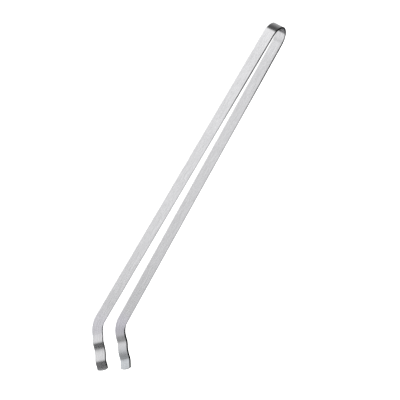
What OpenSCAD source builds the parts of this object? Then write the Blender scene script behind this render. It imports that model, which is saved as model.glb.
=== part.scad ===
// Long strip tongs: one flat steel strip bent into a U, with the ends of the
// two arms cranked edgewise and pressed into waves that face each other.
// Units are millimetres. The tongs lie on their side: +X runs from the bow to
// the tips, +Y to the left arm, +Z across the width of the strip. The origin
// is the centre of the bow, on the plane the strip's lower edge lies on.

/* [Strip] */
// Width of the strip
strip_w = 12; // [10:0.5:15]
// Thickness of the strip
strip_t = 2; // [1.2:0.1:2.5]

/* [Bow] */
// Radius of the bow to the middle of the strip
bow_r = 15.5; // [12:0.5:20]
// Angle each arm leans outwards from the centre plane
spread = 1.85; // [0.5:0.05:3]

/* [Arms] */
// Straight length of each arm from the bow to the crank
arm_len = 348; // [200:1:380]

/* [Crank] */
// Angle the tips are turned up by
crank_angle = 43; // [30:1:60]
// Radius of the crank to the middle of the strip's width
crank_r = 22; // [16:0.5:30]

/* [Jaws] */
// Length of one wave
wave_len = 19.5; // [15:0.5:24]
// Steepest slope of the waves
wave_slope = 20; // [14:1:30]
// Radius of the first bend, where a jaw starts from its crank
start_r = 17; // [12:0.5:22]
// Radius of the bends that stand outwards
top_r = 9; // [6:0.5:12]
// Radius of the last bend, which runs out at the tip
end_r = 34; // [25:1:80]
// Radius of the rounded tip
tip_r = 14; // [10:0.5:20]

/* [Hidden] */
$fn = 96;
// Air between the bow and each arm, so that an arm can swing
flex_gap = 0.08;
// Waves along each jaw
waves = 2;
// Overlap of neighbouring arcs of a wave, in degrees, that makes them one
lap = 0.03;
// Radius of the wider bend that faces the other jaw
crest_r = wave_len / (2 * sin(wave_slope)) - top_r;
// Straight-line length of a jaw
jaw_len = waves * wave_len;
steel = [0.78, 0.78, 0.77];

// Strip bent edgewise or on the flat: an arc about Z, from one angle to
// another, so deep across the bend and so tall along Z
module bend(r, from, to, deep, tall) {
    rotate([0, 0, from])
        rotate_extrude(angle = to - from)
            translate([r, 0]) square([deep, tall], center = true);
}

// Left arm's place: X along the arm, Y outwards
module on_arm() {
    rotate([0, 0, spread]) translate([0, bow_r, 0]) children();
}

// Jaw's place at the end of the crank: X along the jaw, Z across the strip
module on_jaw() {
    translate([arm_len, 0, strip_w / 2 + crank_r])
        rotate([0, -crank_angle, 0])
            translate([0, 0, -crank_r]) children();
}

// Everything of one arm is drawn on the left and mirrored for the right
module other_side() {
    mirror([0, 1, 0]) children();
}

module bow() {
    color(steel)
        translate([0, 0, strip_w / 2])
            bend(bow_r, 90 + spread, 270 - spread, strip_t, strip_w);
}

module arm() {
    color(steel) on_arm()
        translate([flex_gap, -strip_t / 2, 0])
            cube([arm_len - flex_gap, strip_t, strip_w]);
}

// The strip bent edgewise, upwards
module crank() {
    color(steel) on_arm()
        translate([arm_len, 0, strip_w / 2 + crank_r])
            rotate([90, 0, 0])
                bend(crank_r, -90, crank_angle - 90, strip_w, strip_t);
}

// Edge of the strip along one bend of a wave, as a flat shape
module arc_2d(r, x, y, from, to) {
    big = 3 * (r + strip_t);
    translate([x, y])
        difference() {
            circle(r = r + strip_t / 2);
            circle(r = r - strip_t / 2);
            rotate(from - lap) translate([-big / 2, -big]) square([big, big]);
            rotate(to + lap) translate([-big / 2, 0]) square([big, big]);
        }
}

// Edge of a jaw, as a flat shape. It starts level with the arm, swings
// outwards and back, and its crests face the other jaw. The last bend runs on
// past the tip, which jaw_outline cuts to shape.
module wave_2d() {
    high = crest_r - (crest_r + top_r) * cos(wave_slope);
    union() {
        arc_2d(start_r, 0, start_r, lap - 90, wave_slope - 90);
        translate((start_r - crest_r) * [sin(wave_slope), 1 - cos(wave_slope)]) {
            for (i = [0 : waves - 1])
                arc_2d(top_r, (i + 0.5) * wave_len, high,
                       90 - wave_slope, 90 + wave_slope);
            for (i = [1 : waves - 1])
                arc_2d(crest_r, i * wave_len, crest_r,
                       -90 - wave_slope, wave_slope - 90);
            arc_2d(end_r, jaw_len + (end_r - crest_r) * sin(wave_slope),
                   crest_r + (end_r - crest_r) * cos(wave_slope),
                   -90 - wave_slope, wave_slope - 90);
        }
    }
}

// Outline of a jaw seen square on, with its rounded tip
module jaw_outline() {
    translate([0, 2 * strip_w, 0]) rotate([90, 0, 0])
        linear_extrude(4 * strip_w)
            union() {
                translate([-strip_w, -strip_w])
                    square([strip_w + jaw_len - tip_r / 2, 2 * strip_w]);
                translate([jaw_len - tip_r, 0]) circle(r = tip_r);
            }
}

module jaw() {
    color(steel) on_arm() on_jaw()
        intersection() {
            translate([0, 0, -strip_w / 2])
                linear_extrude(strip_w) wave_2d();
            jaw_outline();
        }
}

module arm_left() { arm(); }
module arm_right() { other_side() arm(); }
module crank_left() { crank(); }
module crank_right() { other_side() crank(); }
module jaw_left() { jaw(); }
module jaw_right() { other_side() jaw(); }

bow();
arm_left();
arm_right();
crank_left();
crank_right();
jaw_left();
jaw_right();
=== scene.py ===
"""Long strip tongs of brushed steel, on a white floor.

One flat strip is bent round at the bow; each arm is cranked upwards near its
end and pressed into waves that face the other arm. Every visible piece is a
sweep of the strip's rounded section, laid over the CAD model piece by piece.
Lengths are in millimetres until a mesh is made, which is in metres.
"""

import math
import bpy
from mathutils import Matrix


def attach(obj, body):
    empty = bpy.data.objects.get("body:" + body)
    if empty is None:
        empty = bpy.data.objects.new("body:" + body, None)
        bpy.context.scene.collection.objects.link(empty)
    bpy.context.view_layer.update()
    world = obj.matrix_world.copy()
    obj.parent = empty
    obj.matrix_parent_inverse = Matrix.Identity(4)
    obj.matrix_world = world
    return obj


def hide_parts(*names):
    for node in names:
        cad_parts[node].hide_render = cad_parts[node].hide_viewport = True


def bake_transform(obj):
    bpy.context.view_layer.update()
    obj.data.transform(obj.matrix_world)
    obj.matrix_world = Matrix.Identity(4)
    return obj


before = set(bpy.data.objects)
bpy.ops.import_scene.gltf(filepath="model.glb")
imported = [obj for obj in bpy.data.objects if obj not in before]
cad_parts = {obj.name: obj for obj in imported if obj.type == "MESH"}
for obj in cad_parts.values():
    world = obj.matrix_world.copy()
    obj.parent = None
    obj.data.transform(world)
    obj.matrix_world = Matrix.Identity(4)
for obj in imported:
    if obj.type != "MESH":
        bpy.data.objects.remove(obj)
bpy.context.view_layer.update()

from types import SimpleNamespace

import bpy
import numpy as np
from mathutils import Matrix, Vector

scene = bpy.context.scene

# ---------------------------------------------------------------- sizes, mm

MM = 0.001

STRIP_W = 12.0          # width of the strip
STRIP_T = 2.0           # thickness of the strip
BOW_R = 15.5            # bow, to the middle of the strip
SPREAD = math.radians(1.85)     # each arm leans outwards
ARM_LEN = 348.0         # straight part of an arm
CRANK_ANGLE = math.radians(43)  # tips turned up
CRANK_R = 22.0          # crank, to the middle of the strip's width
WAVE_LEN = 19.5         # one wave of a jaw
WAVES = 2
SLOPE = math.radians(20)        # steepest slope of the waves
START_R = 17.0          # first bend of a jaw
TOP_R = 9.0             # bends that stand outwards
END_R = 34.0            # last bend, which runs out at the tip
TIP_R = 14.0            # rounded tip
CORNER_R = 1.5          # corners of the tip
EDGE_R = 0.20           # deburred long edges
FLEX_LEN = 90.0         # part of each arm next to the bow, with closer rows

HALF_W = STRIP_W / 2
HALF_T = STRIP_T / 2
JAW_LEN = WAVES * WAVE_LEN
CREST_R = WAVE_LEN / (2 * math.sin(SLOPE)) - TOP_R
BENDS_X = (START_R + 2 * TOP_R * WAVES + 2 * CREST_R * (WAVES - 1)) * math.sin(SLOPE)
TIP_SLOPE = math.asin(math.sin(SLOPE) - (JAW_LEN - BENDS_X) / END_R)
BOW_LEN = BOW_R * (math.pi - 2 * SPREAD)
CRANK_LEN = CRANK_R * CRANK_ANGLE

Z = np.array([0.0, 0.0, 1.0])


def turned(angle):
    """Unit vector at an angle from +X in the floor plane."""
    return np.array([math.cos(angle), math.sin(angle), 0.0])


# ------------------------------------------------- where the strip runs
#
# A run gives, for a distance s along it, the centre of the strip and three
# axes: along the strip, across its width, and out of its outer face.


def bow_run(s):
    out = turned(1.5 * math.pi - SPREAD - s / BOW_R)
    along = np.array([out[1], -out[0], 0.0])
    return out * BOW_R + Z * HALF_W, along, Z, out


ARM_X = turned(SPREAD)
ARM_OUT = turned(SPREAD + math.pi / 2)
ARM_START = ARM_OUT * BOW_R + Z * HALF_W


def arm_run(s):
    return ARM_START + ARM_X * s, ARM_X, Z, ARM_OUT


def crank_run(s):
    angle = s / CRANK_R
    along = ARM_X * math.cos(angle) + Z * math.sin(angle)
    across = Z * math.cos(angle) - ARM_X * math.sin(angle)
    pivot = ARM_START + ARM_X * ARM_LEN + Z * CRANK_R
    return pivot - across * CRANK_R, along, across, ARM_OUT


def wave_bends():
    """Bends of a jaw, as (length, slope at the start, slope at the end)."""
    bends = [(START_R * SLOPE, 0.0, SLOPE)]
    for wave in range(WAVES):
        bends.append((TOP_R * 2 * SLOPE, SLOPE, -SLOPE))
        if wave < WAVES - 1:
            bends.append((CREST_R * 2 * SLOPE, -SLOPE, SLOPE))
    bends.append((END_R * (SLOPE - TIP_SLOPE), -SLOPE, -TIP_SLOPE))
    return bends


def wave_path():
    """Start of each bend: (s, x, y, slope, change of slope per mm)."""
    path, s, x, y = [], 0.0, 0.0, 0.0
    for length, start, end in wave_bends():
        rate = (end - start) / length
        path.append((s, x, y, start, rate))
        s += length
        x += (math.sin(end) - math.sin(start)) / rate
        y += (math.cos(start) - math.cos(end)) / rate
    return path


WAVE_PATH = wave_path()
JAW_RUN_LEN = sum(length for length, _, _ in wave_bends())
ROUNDING = 1e-9         # keeps a point at a bend's start in that bend


def jaw_run(s):
    centre, along, across, out = crank_run(CRANK_LEN)
    s0, x, y, slope, rate = [bend for bend in WAVE_PATH if bend[0] <= s + ROUNDING][-1]
    here = slope + rate * (s - s0)
    x += (math.sin(here) - math.sin(slope)) / rate
    y += (math.cos(slope) - math.cos(here)) / rate
    return (
        centre + along * x + out * y,
        along * math.cos(here) + out * math.sin(here),
        across,
        out * math.cos(here) - along * math.sin(here),
    )


# ------------------------------------------------------ the strip's surface
#
# The strip is first built unrolled and flat: s along it, w across it and t
# through it, with +t on the outer face. A run then bends it to shape.

EDGE_STEPS = 6          # round each corner of the section
END_STEPS = 6           # across a square end
CORNER_STEPS = 8        # round each corner of a tip
TIP_STEPS = 14          # round the tip between its corners


def section():
    """Rounded edge of the strip, from its outer face to its inner one, as
    (how far in from the edge, t, share of the normal that points across,
    share that points out)."""
    flat = HALF_T - EDGE_R
    angles = np.linspace(math.pi / 2, 0, EDGE_STEPS + 1)
    points = []
    for side, turn in ((1, angles), (-1, angles[::-1])):
        for angle in turn:
            across, out = math.cos(angle), side * math.sin(angle)
            points.append((EDGE_R * (1 - across), side * flat + EDGE_R * out, across, out))
    return points


def tip_column(length, inset):
    """Rounded end of a strip, from one long edge to the other: (s, w) and the
    direction outwards in the strip's own surface."""
    tip_s = length - TIP_R
    corner_w = HALF_W - CORNER_R
    corner_s = tip_s + math.sqrt((TIP_R - CORNER_R) ** 2 - corner_w**2)
    lean = math.atan2(corner_w, corner_s - tip_s)
    arcs = []
    for angle in np.linspace(-math.pi / 2, -lean, CORNER_STEPS + 1)[:-1]:
        arcs.append((corner_s, -corner_w, CORNER_R, angle))
    for angle in np.linspace(-lean, lean, TIP_STEPS + 1):
        arcs.append((tip_s, 0.0, TIP_R, angle))
    for angle in np.linspace(lean, math.pi / 2, CORNER_STEPS + 1)[1:]:
        arcs.append((corner_s, corner_w, CORNER_R, angle))
    column = []
    for s, w, radius, angle in arcs:
        along, across = math.cos(angle), math.sin(angle)
        reach = radius - inset
        column.append((s + reach * along, w + reach * across, along, across))
    return column


def butt_column(length, inset):
    """Square end of a strip, which meets the next piece."""
    half = HALF_W - inset
    return [(length, w, 0.0, w / half) for w in np.linspace(-half, half, END_STEPS + 1)]


def flat_strip(shares, length, tip):
    """A closed flat strip of a length, cut across at shares of it from 0 to 1.

    Gives the points and normals in (s, w, t), the faces, and the square ends."""
    column = tip_column if tip else butt_column
    profile = section()
    end = column(length, EDGE_R)
    rows, cols = len(end), len(shares)
    points, normals, faces = [], [], []

    def add(s, w, t, normal):
        points.append((s, w, t))
        normals.append(normal)
        return len(points) - 1

    sheets = {}
    for side in (1, -1):
        for i, share in enumerate(shares):
            for j, (s, w, _, _) in enumerate(end):
                sheets[side, i, j] = add(s * share, w, side * HALF_T, (0.0, 0.0, side))
        for i in range(cols - 1):
            for j in range(rows - 1):
                a, b = sheets[side, i, j], sheets[side, i + 1, j]
                c, d = sheets[side, i + 1, j + 1], sheets[side, i, j + 1]
                faces.append((a, b, c, d) if side > 0 else (a, d, c, b))

    low = [(i, 0) for i in range(cols)]
    high = [(i, rows - 1) for i in reversed(range(cols))]
    round_tip = [(cols - 1, j) for j in range(1, rows - 1)]
    rings = {}
    for edge in [low + round_tip + high] if tip else [low, high]:
        for k, (inset, t, across, out) in enumerate(profile):
            ends = column(length, inset)
            for i, j in edge:
                if k == 0:
                    rings[i, j, k] = sheets[1, i, j]
                    continue
                if k == len(profile) - 1:
                    rings[i, j, k] = sheets[-1, i, j]
                    continue
                s, w, normal_s, normal_w = ends[j]
                if not tip or j in (0, rows - 1):
                    normal_s, normal_w = 0.0, (1.0 if j else -1.0)
                normal = (normal_s * across, normal_w * across, out)
                rings[i, j, k] = add(s * shares[i], w, t, normal)
        for p, q in zip(edge, edge[1:]):
            for k in range(len(profile) - 1):
                faces.append(
                    (rings[*p, k], rings[*p, k + 1], rings[*q, k + 1], rings[*q, k])
                )

    caps = []
    between = range(1, len(profile) - 1)
    for i in (0,) if tip else (0, cols - 1):
        ring = [sheets[1, i, j] for j in range(rows)]
        ring += [rings[i, rows - 1, k] for k in between]
        ring += [sheets[-1, i, j] for j in reversed(range(rows))]
        ring += [rings[i, 0, k] for k in reversed(between)]
        caps.append(ring if i == 0 else ring[::-1])
    return points, normals, faces, caps


def mirror_y(mirrored):
    """Factors that mirror a place to the right, or leave it on the left."""
    return np.array([1.0, -1.0 if mirrored else 1.0, 1.0])


def strip_mesh(name, run, shares, length, start, tip, mirrored):
    """A closed mesh of the strip along a run that begins at a distance from
    the middle of the bow.

    The point attribute "strip" holds each point's place on the unrolled strip:
    along it from the middle of the bow, less than 0 on the right, across it,
    and through it."""
    flat_points, flat_normals, faces, caps = flat_strip(shares, length, tip)
    flip = mirror_y(mirrored)
    points, normals, unrolled = [], [], []
    for (s, w, t), (normal_s, normal_w, normal_t) in zip(flat_points, flat_normals):
        centre, along, across, out = run(s)
        points.append((centre + across * w + out * t) * flip * MM)
        normals.append((along * normal_s + across * normal_w + out * normal_t) * flip)
        unrolled.append((flip[1] * (start + s), w, t))
    if not mirrored:
        faces = [face[::-1] for face in faces]
        caps = [cap[::-1] for cap in caps]

    mesh = bpy.data.meshes.new(name)
    mesh.from_pydata([tuple(point) for point in points], [], faces + caps)
    mesh.update()
    place = mesh.attributes.new("strip", "FLOAT_VECTOR", "POINT")
    place.data.foreach_set("vector", np.array(unrolled, np.float32).ravel())
    mesh.polygons.foreach_set("use_smooth", [True] * len(mesh.polygons))
    loops = []
    for polygon in mesh.polygons:
        is_cap = polygon.index >= len(faces)
        for vertex in polygon.vertices:
            loops.append(tuple(polygon.normal if is_cap else normals[vertex]))
    mesh.normals_split_custom_set(loops)
    obj = bpy.data.objects.new(name, mesh)
    scene.collection.objects.link(obj)
    return obj


# ---------------------------------------------------------- building nodes


class Nodes:
    """Short names for building a node tree."""

    def __init__(self, tree):
        self.tree = tree
        tree.nodes.clear()

    def add(self, kind, inputs=(), **settings):
        node = self.tree.nodes.new(kind)
        for key, value in settings.items():
            setattr(node, key, value)
        for key, value in dict(inputs).items():
            self.put(value, node.inputs[key])
        return node

    def put(self, value, socket):
        if isinstance(value, bpy.types.NodeSocket):
            self.tree.links.new(value, socket)
        else:
            socket.default_value = value

    def finish(self, kind, shader):
        out = self.add(kind)
        self.put(shader, out.inputs["Surface"])

    def math(self, operation, *values, clamp=False):
        node = self.add("ShaderNodeMath", operation=operation, use_clamp=clamp)
        for socket, value in zip(node.inputs, values):
            self.put(value, socket)
        return node.outputs[0]

    def times(self, first, *others):
        for other in others:
            first = self.math("MULTIPLY", first, other)
        return first

    def span(self, value, low, high, to_low, to_high, smooth=True):
        """value from low..high to to_low..to_high, held at both ends."""
        node = self.add(
            "ShaderNodeMapRange",
            {"Value": value, "From Min": low, "From Max": high,
             "To Min": to_low, "To Max": to_high},
            interpolation_type="SMOOTHSTEP" if smooth else "LINEAR",
            clamp=True,
        )
        return node.outputs["Result"]

    def rise(self, value, low, high):
        """0 below low, 1 above high."""
        return self.span(value, low, high, 0.0, 1.0)

    def fall(self, value, low, high):
        """1 below low, 0 above high."""
        return self.span(value, low, high, 1.0, 0.0)

    def band(self, value, first, full, last, gone):
        """0 up to first, 1 from full to last, 0 from gone."""
        return self.times(self.rise(value, first, full), self.fall(value, last, gone))

    def tinged(self, value, mask, change):
        """value, changed by a share of itself where the mask is 1."""
        return self.times(value, self.math("MULTIPLY_ADD", mask, change, 1.0))

    def swung(self, value, noise, amount):
        """value, plus so much of how far the noise is from 0.5."""
        return self.math(
            "MULTIPLY_ADD", self.math("SUBTRACT", noise, 0.5), amount, value
        )

    def noise(self, vector, scale, detail, seed, rough=0.5, turn=0.0):
        """Noise over the unrolled strip, at so many cells per mm each way."""
        mapping = self.add(
            "ShaderNodeMapping",
            {"Vector": vector, "Rotation": (0.0, 0.0, turn)},
        )
        scaled = self.add(
            "ShaderNodeVectorMath",
            {0: mapping.outputs[0], 1: scale},
            operation="MULTIPLY",
        )
        moved = self.add(
            "ShaderNodeVectorMath",
            {0: scaled.outputs[0], 1: (seed, 0.7 * seed, 0.4 * seed)},
            operation="ADD",
        )
        node = self.add(
            "ShaderNodeTexNoise",
            {"Vector": moved.outputs[0], "Scale": 1.0, "Detail": detail,
             "Roughness": rough},
            noise_dimensions="3D",
        )
        return node.outputs["Fac"]


# -------------------------------------------------------------- the steel

BOW_END = BOW_LEN / 2
CRANK_START = BOW_END + ARM_LEN
JAW_START = CRANK_START + CRANK_LEN
TIP_CENTRE = JAW_START + JAW_RUN_LEN - TIP_R

STEEL_TONE = 0.825      # share of the light that plain steel sends back
BLUE_CAST = 1.02        # a little more of the blue

# Stretches of the strip, in mm from the middle of the bow: where each starts to
# show, is full, is last full and is gone.
ARM_STRETCH = (BOW_END - 6, BOW_END + 24, CRANK_START - 6, CRANK_START + 16)
# painted shade: the steel darker along the last part of each arm, the crank and the start
# of the jaw
CRANK_SHADE_STRETCH = (BOW_END + 220, CRANK_START, JAW_START - 6, JAW_START + 6)
LILAC_STRETCH = (CRANK_START - 14, CRANK_START + 4, JAW_START - 4, JAW_START + 6)
# painted highlight: the painted shade along the upper edge is lifted here, near the left
# end of the bow
EDGE_HIGHLIGHT_SPOT = (BOW_END - 15, BOW_END - 9.5, BOW_END - 9, BOW_END - 5.5)

# Ends of stretches that have no other end, or have it elsewhere: where each
# starts to show and is full, or starts to fade and is gone.
BLUE_FROM = (JAW_START + 8, JAW_START + 30)
# painted highlight on the outer faces of the tips
TIP_HIGHLIGHT_FROM = (JAW_START + 34, JAW_START + 38)
# where the painted shade along the upper edge mostly fades out along the arms, and where
# it comes back by the jaws
UNSHADED_FROM = (BOW_END + 50, BOW_END + 120)
UNSHADED_SOONER = 30.0   # so much nearer the bow on the left arm
UNSHADED_TO = (CRANK_START + 2, JAW_START + 2)
UNSHADED_TO_RIGHT = (JAW_START + 3, JAW_START + 8)

# Edges, in mm from the strip's middle line.
WORN_EDGE = (HALF_W - 1.0, HALF_W - 0.1)
# painted shade along the upper edge
EDGE_SHADE_BAND = (HALF_W - 0.75, HALF_W - 0.35)
JAW_EDGE_SHADE = 0.5          # the painted edge shade reaches so much further in, inside the jaws

# The cut across a tip, in mm from the centre of its curve, and along the strip.
CUT_EDGE = (TIP_R - 0.6, TIP_R - 0.2)
CUT_FROM = (TIP_R - 3.0, TIP_R - 1.5)


def grain_of(nodes, strip):
    """Marks of grinding and handling, all over the strip."""
    return SimpleNamespace(
        streaks=nodes.noise(strip, (0.07, 2.2, 1.0), detail=4.0, seed=3.0, rough=0.7),
        hatch=nodes.noise(
            strip, (0.9, 1.8, 1.0), detail=3.0, seed=11.0, rough=0.7, turn=0.6
        ),
        mottle=nodes.noise(strip, (0.05, 0.16, 0.3), detail=2.0, seed=29.0),
        fine=nodes.noise(strip, (0.6, 9.0, 4.0), detail=2.0, seed=47.0, rough=0.7),
    )


def regions_of(nodes, strip, mottle):
    """Masks for the parts of the strip that differ in look."""
    along, across, through = nodes.add("ShaderNodeSeparateXYZ", {0: strip}).outputs
    travel = nodes.math("ABSOLUTE", along)
    on_left = nodes.rise(along, -2.0, 2.0)
    inside = nodes.fall(through, -HALF_T, 0.0)
    outside = nodes.rise(through, 0.0, HALF_T)
    jaw = nodes.rise(travel, CRANK_START, JAW_START)
    inner_jaw = nodes.times(inside, jaw)

    return SimpleNamespace(
        arm=nodes.band(travel, *ARM_STRETCH),
        jaw=jaw,
        inner_jaw=inner_jaw,
        outer_jaw=nodes.times(outside, jaw),
        outside=outside,
        worn=nodes.times(
            nodes.rise(nodes.math("ABSOLUTE", across), *WORN_EDGE),
            nodes.span(mottle, 0.4, 0.62, 0.35, 1.0),
        ),
        # painted shade towards the crank
        crank_shade=nodes.band(travel, *CRANK_SHADE_STRETCH),
        # painted highlight on the outer faces of the tips
        tip_highlight=nodes.times(outside, nodes.rise(travel, *TIP_HIGHLIGHT_FROM)),
        # painted shade along the upper edges, and the dark cut across the tips
        dark=nodes.math(
            "MAXIMUM",
            upper_edge_shade_of(nodes, along, across, on_left, jaw, inner_jaw),
            cut_of(nodes, travel, across),
        ),
        # heat tint, lilac round the crank and steel blue inside the jaws
        lilac=nodes.tinged(nodes.band(travel, *LILAC_STRETCH), outside, -0.4),
        blue=nodes.times(inner_jaw, nodes.rise(travel, *BLUE_FROM)),
    )


def upper_edge_shade_of(nodes, along, across, on_left, jaw, inner_jaw):
    """Painted shade: a dark line along the upper edge, standing in for the dark that the
    edge mirrors. Along the arms it mostly fades out, from nearer the bow on the left and
    to further out on the right, and at one spot on the left end of the bow it is lifted
    for a painted highlight."""
    travel = nodes.math("ABSOLUTE", along)
    on_right = nodes.math("SUBTRACT", 1.0, on_left)
    unshaded = nodes.times(
        nodes.rise(
            nodes.math("MULTIPLY_ADD", on_left, UNSHADED_SOONER, travel), *UNSHADED_FROM
        ),
        nodes.math(
            "MAXIMUM",
            nodes.fall(travel, *UNSHADED_TO),
            nodes.times(on_right, nodes.fall(travel, *UNSHADED_TO_RIGHT)),
        ),
    )
    upper = nodes.math("MULTIPLY_ADD", inner_jaw, JAW_EDGE_SHADE, across)
    edge_shade = nodes.rise(upper, *EDGE_SHADE_BAND)
    edge_shade = nodes.tinged(edge_shade, unshaded, -0.75)
    edge_shade = nodes.tinged(edge_shade, jaw, 0.1)
    edge_shade = nodes.times(edge_shade, nodes.math("MULTIPLY_ADD", on_left, 0.2, 0.95))
    # a painted highlight: the painted shade is lifted at one spot
    return nodes.tinged(edge_shade, nodes.band(along, *EDGE_HIGHLIGHT_SPOT), -0.6)


def cut_of(nodes, travel, across):
    """The dark line where the tip was cut to its curve."""
    past = nodes.math("SUBTRACT", travel, TIP_CENTRE)
    from_centre = nodes.math(
        "SQRT",
        nodes.math("MULTIPLY_ADD", past, past, nodes.times(across, across)),
    )
    return nodes.times(
        nodes.rise(from_centre, *CUT_EDGE),
        nodes.span(past, *CUT_FROM, 0.0, 0.8),
    )


def steel_colour(nodes, grain, region):
    """Each mask changes the tone by a share of it. The hatching is weaker on the
    jaws."""
    hatching = nodes.math("MULTIPLY_ADD", region.jaw, -0.35, 0.68)
    tone = nodes.swung(STEEL_TONE, grain.hatch, hatching)
    tone = nodes.swung(tone, grain.streaks, 0.66)
    tone = nodes.swung(tone, grain.mottle, 0.07)
    tone = nodes.math("MULTIPLY_ADD", region.worn, 0.02, tone)
    for mask, change in (
        # painted shade towards the crank
        (region.crank_shade, -0.075),
        # painted highlight on the outer faces of the tips
        (region.tip_highlight, 0.18),
        # painted shade along the upper edges, and the dark cut across the tips
        (region.dark, -0.75),
        (region.outside, 0.025),
        (region.outer_jaw, -0.10),
        (region.inner_jaw, -0.10),
    ):
        tone = nodes.tinged(tone, mask, change)

    def tinted(lilac_change, blue_change):
        part = nodes.tinged(tone, region.lilac, lilac_change)
        return nodes.tinged(part, region.blue, blue_change)

    red = tinted(-0.025, -0.05)
    green = tinted(-0.04, -0.01)
    blue = nodes.times(tinted(0.02, 0.01), BLUE_CAST)
    return nodes.add("ShaderNodeCombineColor", {0: red, 1: green, 2: blue}).outputs[0]


def steel_roughness(nodes, grain, region):
    """The bow and the outer faces of the jaws are smoother than the arms, the
    inner faces of the jaws are rougher, and worn edges are smoothed."""
    rough = nodes.math("MULTIPLY_ADD", region.arm, 0.06, 0.17)
    rough = nodes.math("MULTIPLY_ADD", region.inner_jaw, 0.12, rough)
    rough = nodes.swung(rough, grain.hatch, 0.14)
    rough = nodes.swung(rough, grain.streaks, 0.10)
    return nodes.math("MULTIPLY_ADD", region.worn, -0.05, rough, clamp=True)


def steel_relief(nodes, grain):
    """Normals that follow the grain."""
    relief = nodes.math("MULTIPLY_ADD", grain.fine, 0.5, nodes.times(grain.streaks, 0.5))
    relief = nodes.math("MULTIPLY_ADD", grain.hatch, 0.5, relief)
    bump = nodes.add(
        "ShaderNodeBump",
        {"Height": relief, "Strength": 0.12, "Distance": 0.2 * MM},
    )
    return bump.outputs[0]


def brushed_steel():
    """Strip steel, ground along its length."""
    material = bpy.data.materials.new("brushed_steel")
    material.use_nodes = True
    nodes = Nodes(material.node_tree)
    strip = nodes.add("ShaderNodeAttribute", attribute_name="strip").outputs["Vector"]
    grain = grain_of(nodes, strip)
    region = regions_of(nodes, strip, grain.mottle)
    shader = nodes.add(
        "ShaderNodeBsdfPrincipled",
        {"Base Color": steel_colour(nodes, grain, region),
         "Metallic": 1.0,
         "Roughness": steel_roughness(nodes, grain, region),
         "Normal": steel_relief(nodes, grain)},
    )
    nodes.finish("ShaderNodeOutputMaterial", shader.outputs[0])
    return material


steel = brushed_steel()

# -------------------------------------------------------------- the pieces

BOW_STEPS = 120
FLEX_STEPS = 45         # along the part of an arm next to the bow
STIFF_STEPS = 32        # along the rest of the arm
CRANK_STEPS = 32
JAW_STEPS = 132


def even(count):
    return np.linspace(0.0, 1.0, count + 1)


def arm_shares():
    """Close together next to the bow, further apart beyond it."""
    flex = np.linspace(0.0, FLEX_LEN / ARM_LEN, FLEX_STEPS + 1)
    stiff = np.linspace(FLEX_LEN / ARM_LEN, 1.0, STIFF_STEPS + 1)
    return np.concatenate([flex, stiff[1:]])


def piece(name, node, run, shares, length, start, tip=False, mirrored=False):
    """One visible piece, which stands for a CAD node."""
    obj = strip_mesh(name, run, shares, length, start, tip, mirrored)
    obj.data.materials.append(steel)
    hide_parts(node)
    return obj


bow = piece("bow_strip", "bow", bow_run, even(BOW_STEPS), BOW_LEN, -BOW_END)
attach(bow, "bow")

for side, mirrored in (("left", False), ("right", True)):
    body = side + "_arm"
    arm = piece(
        f"arm_{side}_strip", f"arm_{side}", arm_run, arm_shares(), ARM_LEN, BOW_END,
        mirrored=mirrored,
    )
    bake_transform(arm)
    crank = piece(
        f"crank_{side}_strip", f"crank_{side}", crank_run, even(CRANK_STEPS), CRANK_LEN,
        CRANK_START, mirrored=mirrored,
    )
    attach(crank, body)
    jaw = piece(
        f"jaw_{side}_strip", f"jaw_{side}", jaw_run, even(JAW_STEPS), JAW_RUN_LEN,
        JAW_START, tip=True, mirrored=mirrored,
    )
    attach(jaw, body)

# --------------------------------------------------------------- the floor

WHITE = (1.0, 1.0, 1.0, 1.0)
PALE = (0.85, 0.85, 0.85, 1.0)
FLOOR_HALF = 6.0        # metres
FLOOR_Z = -0.0002       # metres, just under the strip


def pale_floor():
    """A floor that glows, so that only the closest shadows show on its white.
    The steel doesn't mirror it: the studio has a table of its own for that."""
    mesh = bpy.data.meshes.new("floor")
    corners = ((-1, -1), (1, -1), (1, 1), (-1, 1))
    mesh.from_pydata(
        [(x * FLOOR_HALF, y * FLOOR_HALF, FLOOR_Z) for x, y in corners],
        [], [(0, 1, 2, 3)],
    )
    floor = bpy.data.objects.new("floor", mesh)
    scene.collection.objects.link(floor)
    floor.visible_glossy = False

    material = bpy.data.materials.new("pale_floor")
    material.use_nodes = True
    nodes = Nodes(material.node_tree)
    shader = nodes.add(
        "ShaderNodeBsdfPrincipled",
        {"Base Color": PALE, "Roughness": 0.9,
         "Emission Color": WHITE, "Emission Strength": 0.75},
    )
    nodes.finish("ShaderNodeOutputMaterial", shader.outputs[0])
    mesh.materials.append(material)
    return floor


floor = pale_floor()

# --------------------------------------------------------------- the light
#
# The picture and the floor see plain white all round. What the steel mirrors is
# a grey studio: a table that is bright in front, walls round it, and a dim light
# overhead. The tongs point at +X, and the front is -Y. Angles are in degrees,
# from +X towards +Y and from the horizon up, and tones run from 0, black, to 1,
# white.

DEGREES = 180 / math.pi
FIRST_MIRRORED = 2.0    # ray depth of what the steel mirrors directly
SECOND_BOUNCE = 0.35    # share left of what it mirrors by way of itself


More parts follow.
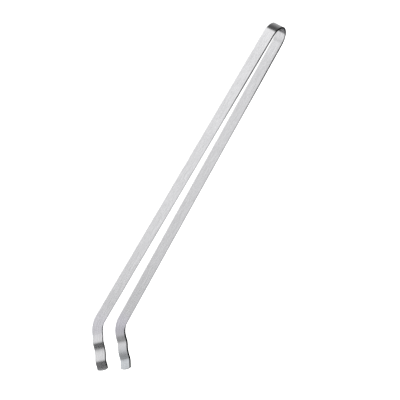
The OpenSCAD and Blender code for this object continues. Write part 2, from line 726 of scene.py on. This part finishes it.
class Studio:
    """Tones of the mirrored studio, by direction."""

    def __init__(self, nodes):
        self.nodes = nodes
        direction = nodes.add("ShaderNodeTexCoord").outputs["Generated"]
        x, y, z = nodes.add("ShaderNodeSeparateXYZ", {0: direction}).outputs
        self.azimuth = nodes.times(nodes.math("ARCTAN2", y, x), DEGREES)
        self.height = nodes.times(nodes.math("ARCSINE", z), DEGREES)

    def off(self, centre):
        """Azimuth measured from a direction, -180 to 180."""
        turn = self.nodes.math("SUBTRACT", self.azimuth, centre)
        return self.nodes.math("WRAP", turn, 180.0, -180.0)

    def flag(self, light, mask, tone):
        """light, with the masked part brought to a tone."""
        mix = self.nodes.add(
            "ShaderNodeMix", {0: mask, 2: light, 3: tone}, data_type="FLOAT"
        )
        return mix.outputs[0]

    def panel(self, light, centre, start, end, soft_start, soft_end, tone):
        """light, with a soft-edged upright panel of a tone, that starts and ends
        at so many degrees from a direction."""
        mask = self.nodes.band(
            self.off(centre),
            start - soft_start, start + soft_start, end - soft_end, end + soft_end,
        )
        return self.flag(light, mask, tone)

    def table(self):
        """Brightest in front of the bow. It falls away into the dark beyond the
        bow, and also behind the tips."""
        nodes = self.nodes
        table = nodes.span(self.off(-100.0), 0.0, 28.0, 0.99, 0.77, smooth=False)
        table = self.flag(table, nodes.rise(self.off(-60.0), -8.0, 12.0), 0.86)
        table = nodes.times(table, nodes.span(self.height, -46.0, -26.0, 0.90, 1.0))
        fading = nodes.span(self.off(180.0), -70.0, 8.0, 0.56, 0.095, smooth=False)
        table = self.panel(
            table, centre=180.0, start=-82.0, end=38.0, soft_start=6.0, soft_end=6.0,
            tone=fading,
        )
        return self.panel(
            table, centre=50.0, start=-38.0, end=42.0, soft_start=12.0, soft_end=8.0,
            tone=0.08,
        )

    def walls(self):
        """Dark in front and beyond the bow, lighter beyond the tips and behind,
        with a slanted line between. Behind are also a soft box and, nearer the
        bow, a black flag, and overhead is a dim light."""
        nodes = self.nodes
        slanted = nodes.math("MULTIPLY_ADD", self.height, -1.13, self.off(-47.5))
        wall = nodes.span(slanted, -4.0, 4.0, 0.05, 0.62)
        wall = self.panel(
            wall, centre=68.0, start=-30.0, end=24.0, soft_start=10.0, soft_end=2.0,
            tone=1.0,
        )
        wall = self.panel(
            wall, centre=120.0, start=-27.0, end=60.0, soft_start=2.5, soft_end=10.0,
            tone=0.015,
        )
        return self.flag(wall, nodes.rise(self.height, 64.0, 82.0), 0.55)

    def light(self):
        """The table below and the walls above, with a soft line between."""
        above = self.nodes.rise(self.height, -23.0, -6.0)
        return self.flag(self.table(), above, self.walls())


def light_studio():
    world = bpy.data.worlds.new("studio")
    scene.world = world
    world.use_nodes = True
    nodes = Nodes(world.node_tree)
    path = nodes.add("ShaderNodeLightPath").outputs
    again = nodes.span(
        path["Ray Depth"], FIRST_MIRRORED, FIRST_MIRRORED + 1, 1.0, SECOND_BOUNCE
    )
    tone = nodes.times(Studio(nodes).light(), again)
    colour = nodes.add("ShaderNodeCombineColor", {0: tone, 1: tone, 2: tone})
    mirrored = nodes.add("ShaderNodeBackground", {"Color": colour.outputs[0]})
    plain = nodes.add("ShaderNodeBackground", {"Color": WHITE})
    mix = nodes.add(
        "ShaderNodeMixShader",
        {0: path["Is Glossy Ray"], 1: plain.outputs[0], 2: mirrored.outputs[0]},
    )
    nodes.finish("ShaderNodeOutputWorld", mix.outputs[0])


light_studio()

# -------------------------------------------------------------- the camera
#
# It looks down on the right arm's outer face, rolled so that the bow is at the
# top right. Metres.

SENSOR = 36.0                   # mm
FIELD = math.radians(23.88)     # angle across the picture
CAMERA_PLACE = Vector((0.12265, -0.92712, 0.42035))
PICTURE_RIGHT = Vector((-0.49692, 0.36857, 0.78564))
PICTURE_DOWN = Vector((0.86548, 0.14443, 0.47967))

camera_data = bpy.data.cameras.new("camera")
camera_data.sensor_width = SENSOR
camera_data.lens = SENSOR / 2 / math.tan(FIELD / 2)
camera_data.clip_start = 0.05
camera_data.clip_end = 50.0
camera = bpy.data.objects.new("camera", camera_data)
scene.collection.objects.link(camera)
forward = PICTURE_RIGHT.cross(PICTURE_DOWN)
turn = Matrix((PICTURE_RIGHT, -PICTURE_DOWN, -forward)).transposed()
camera.matrix_world = Matrix.Translation(CAMERA_PLACE) @ turn.to_4x4()
scene.camera = camera

scene.view_settings.view_transform = "Standard"
scene.view_settings.look = "None"
